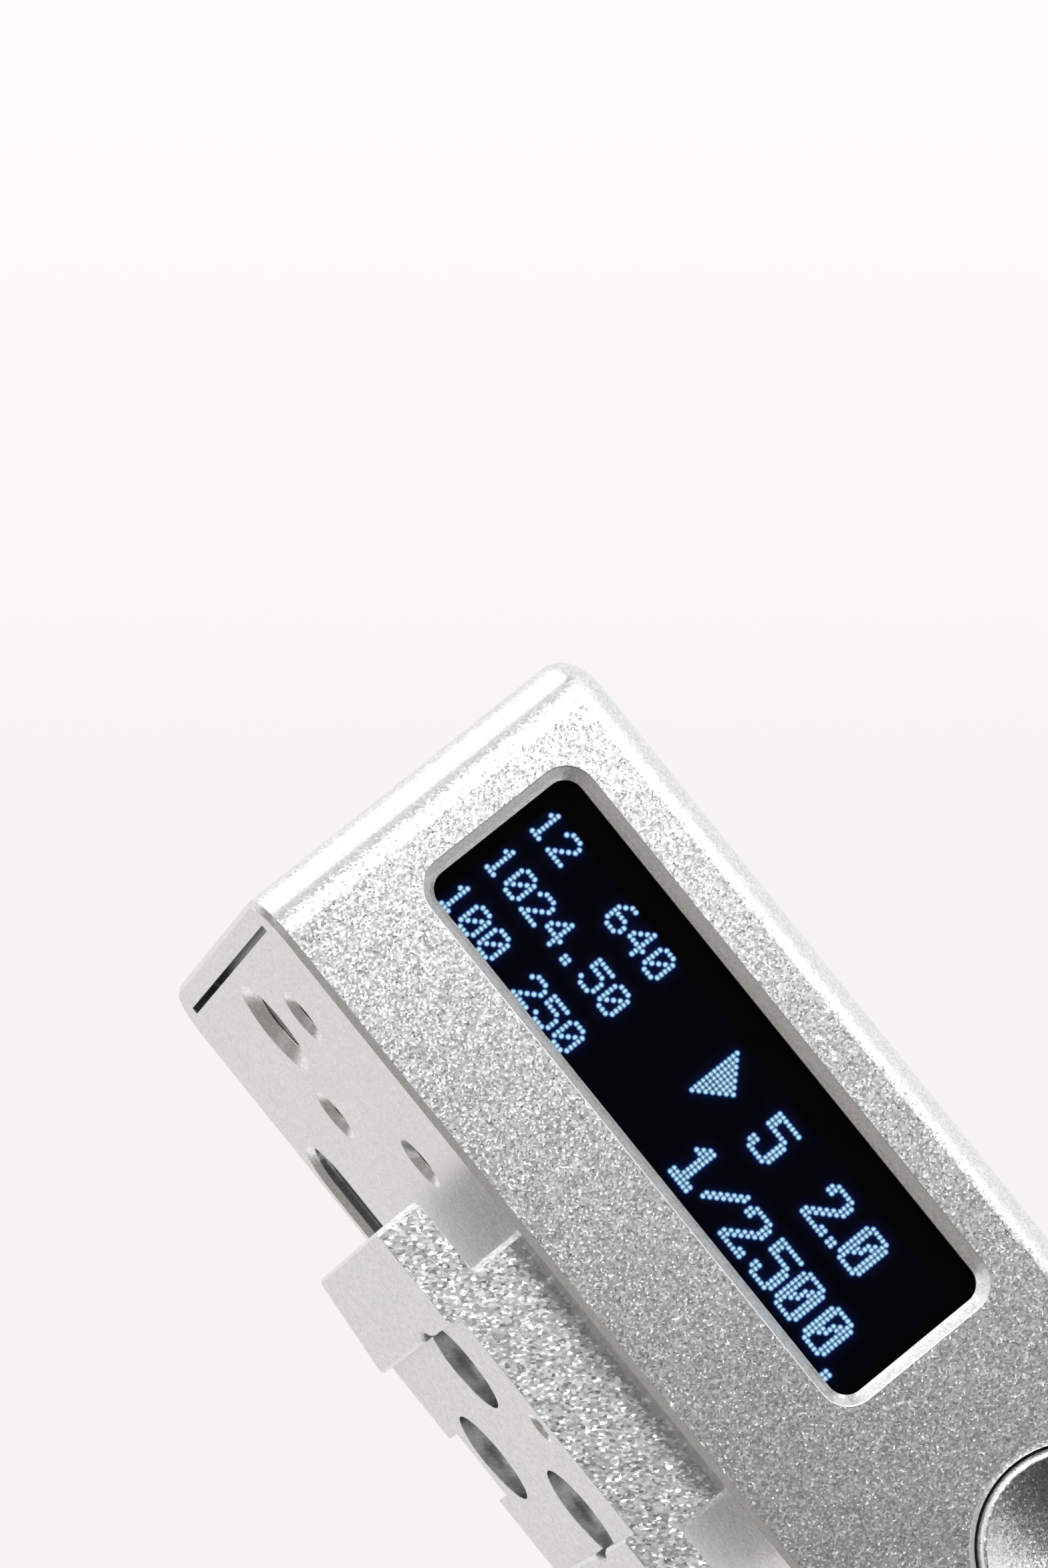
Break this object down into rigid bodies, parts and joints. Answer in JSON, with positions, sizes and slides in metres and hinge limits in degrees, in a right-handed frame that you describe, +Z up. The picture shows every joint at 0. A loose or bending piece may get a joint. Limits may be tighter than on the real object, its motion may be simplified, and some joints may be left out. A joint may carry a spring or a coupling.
{
  "type": "camera light meter",
  "caption": "Pocket exposure meter with a bevelled display window and a round button, on a foot that slides into a camera's accessory shoe.",
  "frame": {"origin": "on the plane that the foot's sole lies on, under the middle of the housing", "axes": "+X along the housing to the button's end, +Y from the display side to the subject side (the way the foot slides into a shoe), +Z up"},
  "size_m": [0.0426, 0.025, 0.0187],
  "materials": {
    "blasted_aluminium": "bead blasted and clear anodised",
    "foot_aluminium": "bead blasted and clear anodised",
    "button_aluminium": "blasted, with a polished rim",
    "screw_steel": "satin",
    "window_glass": "polished, tinted",
    "display_glass": "glossy black with lit dots",
    "black_adhesive": "matt",
    "amber_film": "glossy polyimide film",
    "ivory_plastic": "moulded",
    "foam": "closed-cell foam",
    "gasket_rubber": "matt",
    "switch_metal": "stamped",
    "black_plastic": "moulded",
    "board_green": "solder mask",
    "cell_foil": "laminated foil",
    "tape_white": "matt",
    "lead_red": "extruded insulation",
    "socket_steel": "nickel plated",
    "filter_glass": "coloured filter",
    "sensor_glass": "opal"
  },
  "bodies": {
    "meter": {"housing": "blasted_aluminium", "rear_cover": "blasted_aluminium", "rear_cover_screws": "screw_steel", "window_glass": "window_glass", "window_adhesive": "black_adhesive", "display_panel": "display_glass", "display_flex": "amber_film", "display_connector": "ivory_plastic", "display_pad": "foam", "button_gasket": "gasket_rubber", "switch_body": "switch_metal", "main_board": "board_green", "main_chip": "black_plastic", "rear_board": "board_green", "board_screws": "screw_steel", "link_flex": "amber_film", "link_connectors": "ivory_plastic", "carrier": "black_plastic", "carrier_screws": "screw_steel", "battery_cell": "cell_foil", "battery_tape": "tape_white", "battery_leads": "lead_red", "charge_socket_shell": "socket_steel", "charge_socket_tongue": "black_plastic", "photodiode": "black_plastic", "sensor_tube": "black_plastic", "sensor_filter": "filter_glass", "sensor_window": "sensor_glass", "sensor_bezel": "black_plastic", "shoe_foot": "foot_aluminium", "foot_screws": "screw_steel"},
    "button": {"button_cap": "button_aluminium", "switch_plunger": "black_plastic"}
  },
  "joints": [
    {"name": "button_press", "type": "slide", "parent": "meter", "child": "button", "axis": [0, 1, 0], "range_m": [0, 0.00035], "stiffness_N_per_m": 2000, "springref_m": -0.0002}
  ]
}
